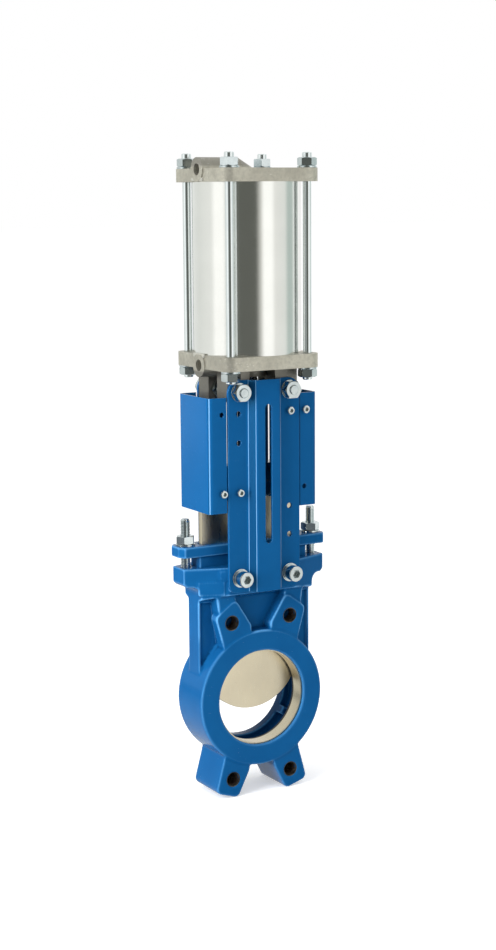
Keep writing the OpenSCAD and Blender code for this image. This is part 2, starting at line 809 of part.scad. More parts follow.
module upper_cover() {
    rib_x = -11.5;
    color(cast_alu) difference() {
        union() {
            cover_plate(tube_top_z, top_z);
            bar_z(tube_in_r - 0.1, upper_spigot_z, tube_top_z + 1);
            intersection() {
                translate([0, 0, upper_port_z]) union() {
                    bar_x(port_boss_r, -port_x, rib_x);
                    translate([rib_x, 0, 0]) rotate([0, 90, 0]) cylinder(r1 = port_boss_r, r2 = 1.5, h = 19);
                }
                block(port_x + 1, port_boss_r + 1, tube_top_z, top_z + port_boss_r + 1);
            }
        }
        seal_groove(upper_spigot_z + 2.5);
        four() translate([tie_xy, tie_xy, 0]) bar_z(tie_d / 2 + 0.3, tube_top_z - 1, top_z + 1);
        translate([0, 0, upper_port_z]) bar_x(port_d / 2, -port_x - 1, -port_x + port_depth);
        translate([-duct_x, 0, 0]) bar_z(duct_r, upper_spigot_z - 1, upper_port_z);
    }
}

module cylinder_tube() {
    color(steel) difference() {
        bar_z(tube_out_r, tube_z, tube_top_z);
        bar_z(tube_in_r, tube_z - 1, tube_top_z + 1);
    }
}

module tube_seals() {
    color(rubber) for (z = [tube_z + 2.5, upper_spigot_z + 2.5])
        washer(tube_in_r - 3, tube_in_r, z, 3);
}

module tie_rods() {
    low_z = cover_z - washer_t - nut_h(tie_d) - 2.8;
    high_z = top_z + washer_t + nut_h(tie_d) + 5;
    thin_r = tie_d * 0.44;
    color(zinc) four() translate([tie_xy, tie_xy, 0]) {
        stud(tie_d / 2, low_z, tube_z - 1);
        bar_z(thin_r, tube_z - 1, tube_top_z + 1);
        stud(tie_d / 2, tube_top_z + 1, high_z);
    }
}

module upper_tie_nuts() {
    color(zinc) four() translate([tie_xy, tie_xy, 0]) hex_nut(tie_d, top_z + washer_t, nut_h(tie_d));
}

module lower_tie_nuts() {
    color(zinc) four() translate([tie_xy, tie_xy, 0])
        hex_nut(tie_d, cover_z - washer_t - nut_h(tie_d), nut_h(tie_d));
}

module tie_washers() {
    color(zinc) four() translate([tie_xy, tie_xy, 0]) {
        washer(tie_d / 2 + 0.3, tie_d, top_z, washer_t);
        washer(tie_d / 2 + 0.3, tie_d, cover_z - washer_t, washer_t);
    }
}

// Rod guide in the lower cover
module rod_wiper() {
    color(rubber) washer(rod_d / 2 + rod_gap, bush_r, hub_z + 1.5, 3);
}

module rod_seal() {
    color(rubber) washer(rod_d / 2 + rod_gap, bush_r, hub_z + 4.5, 5);
}

module rod_bush() {
    color(bronze) washer(rod_d / 2 + rod_gap, bush_r, hub_z + 9.5, spigot_z - hub_z - 9.5);
}

// Moving parts
module gate() {
    color(steel) difference() {
        union() {
            translate([0, 0, gate_lift]) bar_y(gate_r, -gate_t / 2, gate_t / 2);
            block(gate_r, gate_t / 2, gate_lift, fork_z - 0.5);
            block(tongue_w / 2, gate_t / 2, fork_z - 1, tongue_z);
        }
        both_x() translate([fork_bolt_x, 0, fork_z + 10])
            bar_y(fork_bolt_d / 2 + thread_gap, -gate_t / 2 - 1, gate_t / 2 + 1);
    }
}

module gate_fork() {
    color(zinc) difference() {
        block(fork_w / 2, fork_half_y, fork_z, fork_top_z);
        block(fork_w / 2 + 1, gate_t / 2 + eps, fork_z - 1, tongue_z);
        bar_z(rod_thread_d / 2 + thread_gap, tongue_z - 1, fork_top_z + 1);
        both_x() translate([fork_bolt_x, 0, fork_z + 10])
            bar_y(fork_bolt_d / 2 + thread_gap, -fork_half_y - 1, fork_half_y + 1);
    }
}

module fork_bolts() {
    head = fork_bolt_d * 0.65;
    shank = 2 * fork_half_y + nut_h(fork_bolt_d) + 1.5;
    color(zinc) for (sx = [-1, 1]) facing_front(sx * fork_bolt_x, -fork_half_y, fork_z + 10) {
        bar_z(fork_bolt_d / 2, -shank, 0);
        intersection() {
            cylinder(r = hex_r(fork_bolt_d), h = head, $fn = 6);
            union() {
                bar_z(fork_bolt_d * 1.04, 0, head * 0.75);
                translate([0, 0, head * 0.75])
                    cylinder(r1 = fork_bolt_d * 1.04, r2 = fork_bolt_d * 0.84, h = head * 0.25);
            }
        }
    }
}

module fork_nuts() {
    color(zinc) for (sx = [-1, 1])
        facing_front(sx * fork_bolt_x, fork_half_y + nut_h(fork_bolt_d), fork_z + 10)
            hex_nut(fork_bolt_d, 0, nut_h(fork_bolt_d));
}

module rod_lock_nut() {
    color(zinc) rotate([0, 0, 30]) hex_nut(rod_thread_d, fork_top_z, rod_nut_h);
}

module piston_rod() {
    color(steel) {
        bar_z(rod_thread_d / 2, tongue_z + 0.5, piston_top_z);
        bar_z(rod_d / 2, fork_top_z + rod_nut_h, piston_z);
        stud(rod_thread_d / 2, piston_top_z - 1, rod_top_z);
    }
}

module piston() {
    groove = 3.5;
    color(cast_alu) difference() {
        bar_z(tube_in_r - 0.5, piston_z, piston_top_z);
        bar_z(rod_thread_d / 2 + thread_gap, piston_z - 1, piston_top_z + 1);
        washer(tube_in_r - groove, tube_in_r + 1, piston_z + 3, 5);
        washer(tube_in_r - groove, tube_in_r + 1, piston_top_z - 8, 5);
        washer(tube_in_r - groove, tube_in_r + 1, piston_z + piston_h / 2 - 3, 6);
    }
}

module piston_seals() {
    color(rubber) for (z = [piston_z + 3, piston_top_z - 8])
        washer(tube_in_r - 3.5, tube_in_r - piston_gap, z, 5);
}

module piston_guide_ring() {
    color(plastic) washer(tube_in_r - 3.5, tube_in_r - piston_gap, piston_z + piston_h / 2 - 3, 6);
}

module piston_washer() {
    color(zinc) washer(rod_thread_d / 2 + thread_gap, rod_thread_d, piston_top_z, rod_washer_t);
}

module piston_nut() {
    color(zinc) hex_nut(rod_thread_d, piston_top_z + rod_washer_t, rod_nut_h);
}

at_mid() body_casting();
at_mid() seat_retainer();
at_mid() seat_seal();
at_mid() gate_guides();
at_mid() packing_lower();
at_mid() packing_middle();
at_mid() packing_upper();
at_mid() packing_gland();
at_mid() gland_studs();
at_mid() gland_nuts();
at_mid() gland_washers();
at_mid() front_plate();
at_mid() rear_plate();
at_mid() plate_screws();
at_mid() plate_lock_washers();
at_mid() plate_washers();
at_mid() foot_studs();
at_mid() foot_nuts();
at_mid() foot_jam_nuts();
at_mid() foot_washers();
at_mid() left_guard();
at_mid() right_guard();
at_mid() guard_straps();
at_mid() guard_screws();
at_mid() lower_cover();
at_mid() upper_cover();
at_mid() cylinder_tube();
at_mid() tube_seals();
at_mid() tie_rods();
at_mid() upper_tie_nuts();
at_mid() lower_tie_nuts();
at_mid() tie_washers();
at_mid() rod_bush();
at_mid() rod_seal();
at_mid() rod_wiper();
at_mid() gate();
at_mid() gate_fork();
at_mid() fork_bolts();
at_mid() fork_nuts();
at_mid() rod_lock_nut();
at_mid() piston_rod();
at_mid() piston();
at_mid() piston_seals();
at_mid() piston_guide_ring();
at_mid() piston_washer();
at_mid() piston_nut();
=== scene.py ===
import math

import bmesh
import bpy
from mathutils import Matrix, Vector


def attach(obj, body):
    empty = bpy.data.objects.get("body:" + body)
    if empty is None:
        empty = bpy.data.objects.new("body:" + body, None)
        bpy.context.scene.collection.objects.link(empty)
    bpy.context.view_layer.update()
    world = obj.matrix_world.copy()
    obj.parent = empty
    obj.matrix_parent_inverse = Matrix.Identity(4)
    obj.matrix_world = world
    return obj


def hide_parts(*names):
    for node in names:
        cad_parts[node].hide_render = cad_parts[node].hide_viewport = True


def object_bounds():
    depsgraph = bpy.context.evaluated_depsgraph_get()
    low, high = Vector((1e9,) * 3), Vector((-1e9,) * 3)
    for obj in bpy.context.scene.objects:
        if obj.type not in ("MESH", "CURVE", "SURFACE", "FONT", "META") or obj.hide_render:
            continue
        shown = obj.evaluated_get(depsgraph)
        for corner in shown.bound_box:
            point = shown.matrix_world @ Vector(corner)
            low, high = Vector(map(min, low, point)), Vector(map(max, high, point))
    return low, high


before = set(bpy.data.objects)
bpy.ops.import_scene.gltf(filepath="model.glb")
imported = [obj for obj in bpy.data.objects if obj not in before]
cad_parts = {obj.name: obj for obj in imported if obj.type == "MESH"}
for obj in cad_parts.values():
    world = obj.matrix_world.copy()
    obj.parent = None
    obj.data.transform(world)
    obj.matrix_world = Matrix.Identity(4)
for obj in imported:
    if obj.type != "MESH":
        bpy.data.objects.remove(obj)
cad_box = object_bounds()
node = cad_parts


# The body: one casting in ductile iron with four tapped lugs, the flat gate chest and
# the stuffing box with its two ears, coated in blue epoxy. Edges are rounded by the
# mould and the coat, and flat faces carry a fine grain and a few pale specks of dust.
face_length = 0.052
axis_y = face_length / 2.0
bolt_circle = 0.180
bolt_x = bolt_circle / 2.0 * math.sin(math.radians(22.5))
bolt_z = bolt_circle / 2.0 * math.cos(math.radians(22.5))

# Spans of radius, depth and height over which the painted shade and painted highlights of the coat
# change.
lip_radius = (0.0582, 0.0568)
lip_depth = (0.005, 0.009)
hole_margin = (0.0092, 0.0108)
ring_top = (0.062, 0.07)
ear_bottom = (0.118, 0.124)

# Spans of edge sharpness, and of how far a face looks sideways or up, that place the painted highlights,
# sheen and shade.
raised_bend = (0.505, 0.535)
hollow_bend = (0.495, 0.46)
upright_within = (0.22, 0.12)
sheen_rise, sheen_fall = (0.58, 0.66), (0.81, 0.73)
shade_rise, shade_fall = (0.80, 0.83), (0.92, 0.88)

cast_blue, cast_blue_deep = (0.006, 0.098, 0.280), (0.005, 0.087, 0.255)
dust_blue = (0.30, 0.50, 0.66)
# Painted light: a lighter blue for edge highlights and sheen, darker blues for shade in hollows, in the
# recess and on turned faces.
raised_edge_highlight_blue = (0.10, 0.33, 0.65)
hollow_painted_shade = (0.0, 0.032, 0.12)
recess_painted_shade = (0.0, 0.016, 0.075)
painted_shade_blue = (0.004, 0.055, 0.155)
painted_sheen_blue = (0.24, 0.50, 0.80)
glint_tint = (0.1, 0.55, 1.0)
glint_level = 0.15

# Noise seldom leaves the middle of its range, so these spans of it make a full blend.
even_mix = (0.35, 0.65)
grain_mix = (0.3, 0.7)


def feed(tree, socket, value):
    if isinstance(value, (int, float)):
        socket.default_value = value
    elif isinstance(value, (tuple, list)):
        socket.default_value = (*value, 1.0)
    else:
        tree.links.new(value, socket)


def mask_group(name, inputs, outputs):
    group = bpy.data.node_groups.new(name, "ShaderNodeTree")
    for label, kind, value in inputs:
        socket = group.interface.new_socket(name=label, in_out="INPUT", socket_type=kind)
        if value is not None:
            socket.default_value = value
    for label, kind in outputs:
        group.interface.new_socket(name=label, in_out="OUTPUT", socket_type=kind)
    start = group.nodes.new("NodeGroupInput")
    end = group.nodes.new("NodeGroupOutput")
    return group, start, end


def noise(tree, vector, scale, detail=3.0, rough=0.5):
    texture = tree.nodes.new("ShaderNodeTexNoise")
    texture.inputs["Detail"].default_value = detail
    texture.inputs["Roughness"].default_value = rough
    tree.links.new(vector, texture.inputs["Vector"])
    feed(tree, texture.inputs["Scale"], scale)
    return texture.outputs["Fac"]


def steps(tree, value, low, high, out_low=0.0, out_high=1.0):
    slope = tree.nodes.new("ShaderNodeMapRange")
    slope.inputs["From Min"].default_value = low
    slope.inputs["From Max"].default_value = high
    slope.inputs["To Min"].default_value = out_low
    slope.inputs["To Max"].default_value = out_high
    tree.links.new(value, slope.inputs["Value"])
    return slope.outputs["Result"]


def blend(tree, fac, first, second):
    mix = tree.nodes.new("ShaderNodeMix")
    mix.data_type = "RGBA"
    factor, under, over = mix.inputs[0], mix.inputs[6], mix.inputs[7]
    for socket, value in ((factor, fac), (under, first), (over, second)):
        feed(tree, socket, value)
    return mix.outputs[2]


def maths(tree, operation, first, second=None):
    sum_up = tree.nodes.new("ShaderNodeMath")
    sum_up.operation = operation
    feed(tree, sum_up.inputs[0], first)
    if second is not None:
        feed(tree, sum_up.inputs[1], second)
    return sum_up.outputs[0]


def product(tree, first, *others):
    for other in others:
        first = maths(tree, "MULTIPLY", first, other)
    return first


def between(tree, value, rise, fall):
    return product(tree, steps(tree, value, *rise), steps(tree, value, *fall))


def axes_of(tree, vector):
    split = tree.nodes.new("ShaderNodeSeparateXYZ")
    tree.links.new(vector, split.inputs["Vector"])
    return split.outputs


def new_finish(name):
    finish = bpy.data.materials.new(name)
    finish.use_nodes = True
    tree = finish.node_tree
    shader = tree.nodes["Principled BSDF"]
    place = tree.nodes.new("ShaderNodeTexCoord").outputs["Object"]
    return finish, tree, shader, place


def add_bump(tree, shader, height, strength, distance):
    bump = tree.nodes.new("ShaderNodeBump")
    bump.inputs["Strength"].default_value = strength
    bump.inputs["Distance"].default_value = distance
    tree.links.new(height, bump.inputs["Height"])
    tree.links.new(bump.outputs["Normal"], shader.inputs["Normal"])


def use_group(tree, group, place, **values):
    effect = tree.nodes.new("ShaderNodeGroup")
    effect.node_tree = group
    tree.links.new(place, effect.inputs["Place"])
    for label, value in values.items():
        effect.inputs[label].default_value = value
    return effect.outputs


def merged_copy(name):
    work = bmesh.new()
    work.from_mesh(node[name].data)
    bmesh.ops.remove_doubles(work, verts=work.verts, dist=0.00002)
    return work


def place_piece(work, title, replaced, finish, body="valve", sharp=None):
    data = bpy.data.meshes.new(title)
    work.to_mesh(data)
    work.free()
    piece = bpy.data.objects.new(title, data)
    bpy.context.scene.collection.objects.link(piece)
    data.materials.append(finish)
    for polygon in data.polygons:
        polygon.use_smooth = True
    if sharp:
        data.set_sharp_from_angle(angle=math.radians(sharp))
    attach(piece, body)
    if replaced:
        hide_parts(*replaced)
    return piece


# The remesh gives the casting one closed skin, and the smoothing rounds its edges.
def cast_skin(name, title, finish, voxel, ratio, rounds):
    piece = place_piece(merged_copy(name), title, [name], finish)
    skin = piece.modifiers.new("one_skin", "REMESH")
    skin.mode = "VOXEL"
    skin.voxel_size = voxel
    skin.use_smooth_shade = True
    melt = piece.modifiers.new("soft_edges", "SMOOTH")
    melt.factor = 0.5
    melt.iterations = rounds
    thin = piece.modifiers.new("fewer_faces", "DECIMATE")
    thin.ratio = ratio


# Grain of the surface, rare specks of dust in patches, and broad clouds of tone.
speckle, into, out = mask_group(
    "speckle",
    [
        ("Place", "NodeSocketVector", None),
        ("Grain", "NodeSocketFloat", 900.0),
        ("Dust", "NodeSocketFloat", 2600.0),
    ],
    [
        ("Grain Height", "NodeSocketFloat"),
        ("Dust Mask", "NodeSocketFloat"),
        ("Cloud", "NodeSocketFloat"),
    ],
)
place = into.outputs["Place"]
grain_height = noise(speckle, place, into.outputs["Grain"], detail=4.0, rough=0.6)
specks = speckle.nodes.new("ShaderNodeTexVoronoi")
specks.feature = "F1"
speckle.links.new(place, specks.inputs["Vector"])
speckle.links.new(into.outputs["Dust"], specks.inputs["Scale"])
small = steps(speckle, specks.outputs["Distance"], 0.14, 0.06)
rare = steps(speckle, specks.outputs["Color"], 0.76, 0.80)
in_patches = steps(speckle, noise(speckle, place, 60.0), 0.52, 0.62)
dust_mask = product(speckle, small, rare, in_patches)
speckle.links.new(grain_height, out.inputs["Grain Height"])
speckle.links.new(dust_mask, out.inputs["Dust Mask"])
speckle.links.new(noise(speckle, place, 26.0), out.inputs["Cloud"])


# Painted highlights and painted shade on the coat: raised edges get a lighter blue, full between the ring
# and the ears, less on the ring and the ears and none round the lug holes. Hollows and the passage behind
# the ring's lip are painted darker as shade.
def casting_painted_light(tree, place, base):
    spot = axes_of(tree, place)

    def reach(centre_x, centre_z):
        squares = []
        for axis, centre in (("X", centre_x), ("Z", centre_z)):
            away = maths(tree, "SUBTRACT", maths(tree, "ABSOLUTE", spot[axis]), centre)
            squares.append(maths(tree, "MULTIPLY", away, away))
        return maths(tree, "SQRT", maths(tree, "ADD", *squares))

    # Painted shade in the passage behind the ring's lip.
    within_lip = steps(tree, reach(0.0, 0.0), *lip_radius)
    behind_lip = steps(tree, spot["Y"], *lip_depth)
    base = blend(tree, product(tree, within_lip, behind_lip, 0.75), base, recess_painted_shade)
    bend = tree.nodes.new("ShaderNodeNewGeometry").outputs["Pointiness"]
    off_holes = steps(tree, reach(bolt_x, bolt_z), *hole_margin)
    off_ring = steps(tree, spot["Z"], *ring_top, 0.38, 1.0)
    off_ears = steps(tree, spot["Z"], *ear_bottom, 1.0, 0.55)
    by_height = product(tree, off_ring, off_ears)
    # Painted highlight on raised edges, weighted by height.
    raised = product(tree, steps(tree, bend, *raised_bend), off_holes, by_height)
    base = blend(tree, raised, base, raised_edge_highlight_blue)
    # Painted shade: hollows are darkened.
    return blend(tree, steps(tree, bend, *hollow_bend, 0.0, 0.85), base, hollow_painted_shade)


# Upright faces that turn some 45 degrees to the side get a painted pale sheen. On the sheet parts those
# that turn a little further get painted shade.
def epoxy(name, colour, dark, grain, bump, roughness, cast=False, sheen_strength=0.7):
    finish, tree, shader, place = new_finish(name)
    parts = use_group(tree, speckle, place, Grain=grain, Dust=420.0)
    base = blend(tree, steps(tree, parts["Cloud"], *even_mix), colour, dark)
    base = blend(tree, product(tree, parts["Dust Mask"], 0.55), base, dust_blue)
    if cast:
        base = casting_painted_light(tree, place, base)
    facing = axes_of(tree, tree.nodes.new("ShaderNodeTexCoord").outputs["Normal"])
    sideways = maths(tree, "ABSOLUTE", facing["X"])
    upright = steps(tree, maths(tree, "ABSOLUTE", facing["Z"]), *upright_within)
    if not cast:
        # Painted shade on sheet faces turned a little further to the side.
        shade = between(tree, sideways, shade_rise, shade_fall)
        base = blend(tree, product(tree, shade, upright), base, painted_shade_blue)
    # Painted sheen on faces turned some 45 degrees to the side.
    sheen = between(tree, sideways, sheen_rise, sheen_fall)
    base = blend(tree, product(tree, sheen, upright, sheen_strength), base, painted_sheen_blue)
    rough = steps(tree, parts["Grain Height"], *grain_mix, roughness - 0.06, roughness + 0.08)
    tree.links.new(base, shader.inputs["Base Color"])
    tree.links.new(rough, shader.inputs["Roughness"])
    shader.inputs["Specular IOR Level"].default_value = glint_level
    shader.inputs["Specular Tint"].default_value = (*glint_tint, 1.0)
    add_bump(tree, shader, parts["Grain Height"], bump, 0.0004)
    return finish


cast_epoxy = epoxy(
    "cast_epoxy", cast_blue, cast_blue_deep, grain=260.0, bump=0.1, roughness=0.17, cast=True, sheen_strength=0.12)
cast_skin("body_casting", "body_skin", cast_epoxy, voxel=0.001, ratio=0.45, rounds=12)


# The gland plate: a flat casting in the same iron and coat, with a collar below that
# reaches into the stuffing box and presses on the packing.
cast_skin("packing_gland", "gland_skin", cast_epoxy, voxel=0.0009, ratio=0.5, rounds=8)


# The tapped holes of the four lugs: M16 threads cut after casting, so the iron is bare
# and dark with oil. A small cut edge opens each hole. The lower holes go through, and
# the upper ones end blind from both sides.
raised_face = 0.001
hole_r = 0.007
thread_wall = hole_r - 0.00002
thread_depth = 0.0009
thread_pitch = 0.002
thread_start = 0.0015
blind_length = 0.011
through_length = 0.0475
mouth_line = ((0.0080, 0.0004), (0.0076, 0.0004), (0.0066, 0.0014), (0.0066, 0.0022))
oil_brown, oil_brown_deep = (0.10, 0.075, 0.055), (0.05, 0.036, 0.028)
cut_grey, cut_grey_deep = (0.12, 0.115, 0.10), (0.05, 0.05, 0.045)
back = Vector((0.0, 1.0, 0.0))


def square_to(axis):
    return Vector((1.0, 0.0, 0.0)) if abs(axis.x) < 0.5 else Vector((0.0, 1.0, 0.0))


# One turn of the outline goes root, crest, crest, root, and a spin along the axis winds it.
def thread(spot, axis, radius, depth, pitch, length, sides=28, outside=False):
    work = bmesh.new()
    aside = square_to(axis)
    root, crest = (depth, 0.0) if outside else (0.0, depth)
    outline = ((root, 0.06), (crest, 0.44), (crest, 0.56), (root, 0.94), (root, 1.06))
    line = [
        work.verts.new(spot + aside * (radius - drop) + axis * (pitch * share))
        for drop, share in outline
    ]
    edges = [work.edges.new(pair) for pair in zip(line, line[1:])]
    count = int(sides * (length / pitch))
    bmesh.ops.spin(
        work, geom=line + edges, cent=spot, axis=axis, dvec=axis * (pitch / sides),
        angle=math.tau * count / sides, steps=count, use_merge=False, use_duplicate=False)
    bmesh.ops.remove_doubles(work, verts=work.verts, dist=0.00001)
    bmesh.ops.recalc_face_normals(work, faces=work.faces)
    return work


def ring(spot, axis, stations, sides=48):
    work = bmesh.new()
    aside = square_to(axis)
    line = [work.verts.new(spot + aside * radius + axis * along) for radius, along in stations]
    edges = [work.edges.new(pair) for pair in zip(line, line[1:])]
    bmesh.ops.spin(
        work, geom=line + edges, cent=spot, axis=axis, dvec=(0.0, 0.0, 0.0), angle=math.tau,
        steps=sides, use_merge=True, use_duplicate=False)
    bmesh.ops.remove_doubles(work, verts=work.verts, dist=0.00001)
    bmesh.ops.recalc_face_normals(work, faces=work.faces)
    return work


def add_to(whole, part):
    data = bpy.data.meshes.new("part")
    part.to_mesh(data)
    part.free()
    whole.from_mesh(data)
    bpy.data.meshes.remove(data)


def bare_metal(name, colour, dark, roughness, metallic=1.0, bump=0.1, grain=300.0):
    finish, tree, shader, place = new_finish(name)
    cloud = noise(tree, place, grain, detail=4.0)
    base = blend(tree, steps(tree, cloud, *even_mix), colour, dark)
    rough = steps(tree, cloud, *grain_mix, roughness * 0.85, roughness * 1.2)
    tree.links.new(base, shader.inputs["Base Color"])
    shader.inputs["Metallic"].default_value = metallic
    tree.links.new(rough, shader.inputs["Roughness"])
    if bump:
        add_bump(tree, shader, noise(tree, place, 900.0), bump, 0.0001)
    return finish


threads = bmesh.new()
mouths = bmesh.new()
for x in (-bolt_x, bolt_x):
    for z in (-bolt_z, bolt_z):
        front = Vector((x, raised_face, z))
        rear = Vector((x, face_length - raised_face, z))
        cuts = [(front + back * thread_start, through_length if z < 0.0 else blind_length)]
        if z > 0.0:
            cuts.append((rear - back * (thread_start + blind_length), blind_length))
        for start, length in cuts:
            add_to(threads, thread(start, back, thread_wall, thread_depth, thread_pitch, length))
        add_to(mouths, ring(front, back, mouth_line))
        add_to(mouths, ring(rear, -back, mouth_line))
oiled_iron = bare_metal("oiled_iron", oil_brown, oil_brown_deep, roughness=0.42, metallic=0.7)
cut_iron = bare_metal("cut_iron", cut_grey, cut_grey_deep, roughness=0.35)
place_piece(threads, "lug_threads", [], oiled_iron)
place_piece(mouths, "lug_mouths", [], cut_iron)


# The plates and guards: steel sheet, laser cut, bent and coated in the same blue. The
# coat is smoother than on the casting, and the rounded cut edges get a lighter blue as a painted
# highlight.
sheet_blue, sheet_blue_deep = (0.006, 0.096, 0.274), (0.005, 0.090, 0.260)
# Painted highlight colours for the rounded cut edges.
edge_highlight_blue, edge_highlight_blue_deep = (0.13, 0.36, 0.66), (0.07, 0.27, 0.55)
sheet_edge = 0.0006
plate_bend = 0.0016
fold_length = 0.1
fold_angles = (0.4, 1.3)
flat_within = math.radians(0.6)
rounded_beyond = math.radians(20.0)


# A long shallow edge of a bent plate is a fold, which gets a rounded bend.
def turned_copy(name, title, finish, width, segments=2, body="valve", edge_highlight_finish=None, bends=0.0):
    work = merged_copy(name)
    bmesh.ops.dissolve_limit(work, angle_limit=flat_within, verts=work.verts, edges=work.edges)
    if bends:
        gentle, steep = fold_angles
        folds = [
            edge for edge in work.edges
            if edge.calc_length() > fold_length and gentle < edge.calc_face_angle(0.0) < steep
        ]
        bmesh.ops.bevel(
            work, geom=folds, offset=bends, affect="EDGES", segments=4, profile=0.5, material=-1)
    piece = place_piece(work, title, [name], finish, body, sharp=28.0)
    if edge_highlight_finish:
        piece.data.materials.append(edge_highlight_finish)
    if width:
        rounding = piece.modifiers.new("rounded_edges", "BEVEL")
        rounding.width = width
        rounding.segments = segments
        rounding.limit_method = "ANGLE"
        rounding.angle_limit = rounded_beyond
        rounding.harden_normals = True
        rounding.use_clamp_overlap = True
        # The bevel faces take the painted edge highlight.
        rounding.material = 1 if edge_highlight_finish else -1
    if bends:
        level = piece.modifiers.new("level_faces", "WEIGHTED_NORMAL")
        level.keep_sharp = True
        level.weight = 100


sheet_epoxy = epoxy("sheet_epoxy", sheet_blue, sheet_blue_deep, grain=500.0, bump=0.04, roughness=0.2)
edge_highlight_epoxy = epoxy("edge_highlight_epoxy", edge_highlight_blue, edge_highlight_blue_deep, grain=500.0, bump=0.04, roughness=0.2)
for name in ("front_plate", "rear_plate", "left_guard", "right_guard"):
    turned_copy(
        name, name + "_sheet", sheet_epoxy, sheet_edge, edge_highlight_finish=edge_highlight_epoxy,
        bends=plate_bend if "plate" in name else 0.0)


# The gate and the seat retainer: stainless steel. The gate is cut from rolled plate and
# ground along its length, the retainer is a turned ring that holds the seat in the body.
steel_warm, steel_warm_deep = (0.70, 0.625, 0.47), (0.65, 0.58, 0.44)
ground_along_z = (1500.0, 1500.0, 60.0)
fine_edge = 0.0004


def brushed(name, colour, dark, roughness, stretch):
    finish, tree, shader, place = new_finish(name)
    drawn = tree.nodes.new("ShaderNodeMapping")
    drawn.inputs["Scale"].default_value = stretch
    tree.links.new(place, drawn.inputs["Vector"])
    lines = noise(tree, drawn.outputs["Vector"], 1.0, detail=4.0, rough=0.6)
    cloud = noise(tree, place, 30.0)
    base = blend(tree, steps(tree, cloud, *even_mix), colour, dark)
    rough = steps(tree, lines, *grain_mix, roughness - 0.05, roughness + 0.07)
    tree.links.new(base, shader.inputs["Base Color"])
    shader.inputs["Metallic"].default_value = 1.0
    tree.links.new(rough, shader.inputs["Roughness"])
    add_bump(tree, shader, lines, 0.15, 0.0001)
    return finish


gate_steel = brushed("gate_steel", steel_warm, steel_warm_deep, roughness=0.3, stretch=ground_along_z)
turned_copy("gate", "gate_blade", gate_steel, fine_edge, body="gate_assembly")
turned_copy("seat_retainer", "retainer_ring", gate_steel, fine_edge)


# The screws, washers, straps and tie rods, and the studs and nuts at the cover feet:
# turned or rolled steel with bright zinc plate. The tie rods are smoother than the rest.
zinc_blue, zinc_blue_deep = (0.66, 0.72, 0.73), (0.58, 0.64, 0.66)
rod_pale, rod_pale_deep = (0.82, 0.87, 0.88), (0.78, 0.83, 0.85)
zinc_edge = 0.00025
zinc_plate = bare_metal("zinc_plate", zinc_blue, zinc_blue_deep, roughness=0.17, bump=0.0, grain=120.0)
rod_zinc = bare_metal("rod_zinc", rod_pale, rod_pale_deep, roughness=0.12, bump=0.0, grain=60.0)
zinc_nodes = (
    "gland_washers", "plate_screws", "plate_lock_washers", "plate_washers", "foot_studs", "foot_nuts",
    "foot_jam_nuts", "foot_washers", "guard_straps", "guard_screws", "tie_rods", "tie_washers",
)
for name in zinc_nodes:
    finish = rod_zinc if name == "tie_rods" else zinc_plate
    turned_copy(name, name + "_zinc", finish, zinc_edge)


# The M10 nuts on the tie rods and gland studs: pressed hexagons in zinc plated steel,
# chamfered on both faces, each turned as the spanner left it.
nut_across = 0.017
nut_bore = 0.0043
bore_chamfer = 0.0006
# The flat ring on a nut's face, as its radius over the width across flats.
face_share = 0.475
tie_half = 0.04448
stud_x = 0.0745
up_z = Vector((0.0, 0.0, 1.0))


def height_of(name):
    heights = [vertex.co.z for vertex in node[name].data.vertices]
    return min(heights), max(heights)


def hex_nut(spot, height, turn):
    face_r = nut_across * face_share
    corner = nut_across / 2.0 / math.cos(math.radians(30.0))
    drop = (corner - face_r) * math.tan(math.radians(30.0))
    work = ring(spot, up_z, (
        (nut_bore, bore_chamfer), (nut_bore + bore_chamfer, 0.0), (face_r, 0.0), (corner, drop),
        (corner, height - drop), (face_r, height), (nut_bore + bore_chamfer, height),
        (nut_bore, height - bore_chamfer), (nut_bore, bore_chamfer)), sides=72)
    for count in range(6):
        way = math.radians(turn + 60.0 * count)
        flat = Vector((math.cos(way), math.sin(way), 0.0))
        cut = bmesh.ops.bisect_plane(
            work, geom=work.verts[:] + work.edges[:] + work.faces[:],
            plane_co=spot + flat * (nut_across / 2.0), plane_no=flat, clear_outer=True)
        rim = [item for item in cut["geom_cut"] if isinstance(item, bmesh.types.BMEdge)]
        bmesh.ops.edgeloop_fill(work, edges=rim)
    bmesh.ops.recalc_face_normals(work, faces=work.faces)
    return work


def nut_set(title, replaced, places, turns):
    bottom, top = height_of(replaced)
    whole = bmesh.new()
    for (x, y), turn in zip(places, turns):
        add_to(whole, hex_nut(Vector((x, y, bottom)), top - bottom, turn))
    place_piece(whole, title, [replaced], zinc_plate, sharp=22.0)


tie_places = [(x, y) for y in (axis_y - tie_half, axis_y + tie_half) for x in (-tie_half, tie_half)]
stud_places = [(-stud_x, axis_y), (stud_x, axis_y)]
nut_set("upper_tie_hexes", "upper_tie_nuts", tie_places, (206.0, 236.0, 249.0, 268.0))
nut_set("lower_tie_hexes", "lower_tie_nuts", tie_places, (251.0, 237.0, 248.0, 260.0))
nut_set("gland_hexes", "gland_nuts", stud_places, (207.0, 244.0))


